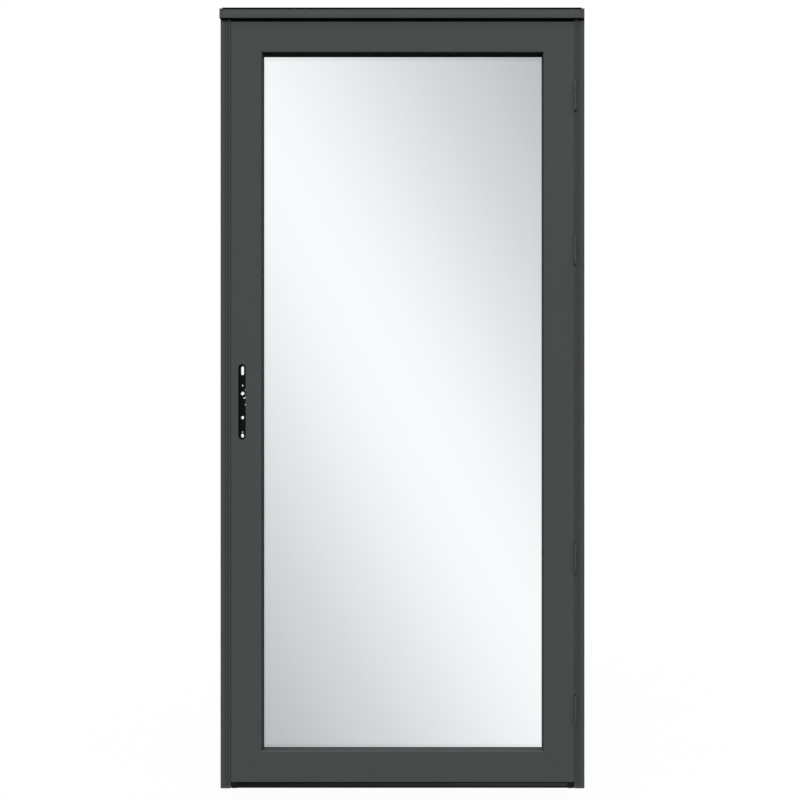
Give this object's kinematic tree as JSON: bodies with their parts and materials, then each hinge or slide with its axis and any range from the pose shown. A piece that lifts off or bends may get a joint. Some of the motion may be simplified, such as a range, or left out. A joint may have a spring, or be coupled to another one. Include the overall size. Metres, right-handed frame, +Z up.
{
  "type": "full-view storm door in its frame",
  "caption": "Full-glass storm door leaf hung on butt hinges in an aluminium Z-bar frame with drip cap, weatherstrip, bottom sweep and mortise lock case.",
  "frame": {"origin": "Centre of the hinge-side frame bar's back face, the face that rests on the door casing.", "axes": "+X runs to the hinge side seen from outdoors, +Y points indoors, +Z is up."},
  "size_m": [0.9584, 0.0546, 2.054],
  "materials": {
    "frame_paint": "powder-coated aluminium, charcoal grey, satin",
    "cap_paint": "powder-coated aluminium, charcoal grey, satin",
    "leaf_paint": "powder-coated aluminium, charcoal grey, satin",
    "seal_rubber": "matt black vinyl weatherstrip",
    "strip_vinyl": "charcoal grey flexible vinyl, satin",
    "foot_plastic": "grey moulded plastic",
    "end_plastic": "black moulded plastic",
    "channel_metal": "dark anodised aluminium",
    "clear_glass": "clear tempered glass",
    "lock_black": "black coated steel",
    "lock_steel": "plain zinc-plated steel",
    "hinge_paint": "powder-coated steel, charcoal grey"
  },
  "bodies": {
    "frame": {"hinge_jamb": "frame_paint", "latch_jamb": "frame_paint", "head_bar": "frame_paint", "drip_cap": "cap_paint", "cap_end_plates": "cap_paint", "hinge_side_seal": "seal_rubber", "latch_side_seal": "seal_rubber", "head_seal": "seal_rubber", "foot_plugs": "foot_plastic", "hinge_gap_strips": "strip_vinyl", "latch_gap_strip": "strip_vinyl", "strike_plate": "lock_steel", "hinge_1_frame_leaf": "hinge_paint", "hinge_1_pin": "hinge_paint", "hinge_2_frame_leaf": "hinge_paint", "hinge_2_pin": "hinge_paint", "hinge_3_frame_leaf": "hinge_paint", "hinge_3_pin": "hinge_paint", "hinge_4_frame_leaf": "hinge_paint", "hinge_4_pin": "hinge_paint"},
    "door_leaf": {"hinge_stile": "leaf_paint", "latch_stile": "leaf_paint", "top_rail": "leaf_paint", "bottom_rail": "leaf_paint", "glass_gasket": "seal_rubber", "glass": "clear_glass", "hinge_retainer": "leaf_paint", "latch_retainer": "leaf_paint", "top_retainer": "leaf_paint", "bottom_retainer": "leaf_paint", "bottom_channel": "channel_metal", "sweep": "seal_rubber", "channel_end_blocks": "end_plastic", "lock_case": "lock_black", "lock_hub": "lock_steel", "lock_faceplate": "lock_steel", "latch_bolt": "lock_steel", "hinge_1_door_leaf": "hinge_paint", "hinge_2_door_leaf": "hinge_paint", "hinge_3_door_leaf": "hinge_paint", "hinge_4_door_leaf": "hinge_paint"}
  },
  "joints": [
    {"name": "leaf_swing", "type": "hinge", "parent": "frame", "child": "door_leaf", "pos_m": [-0.0153, -0.015, 0], "axis": [0, 0, 1], "range_deg": [0, 170]}
  ]
}
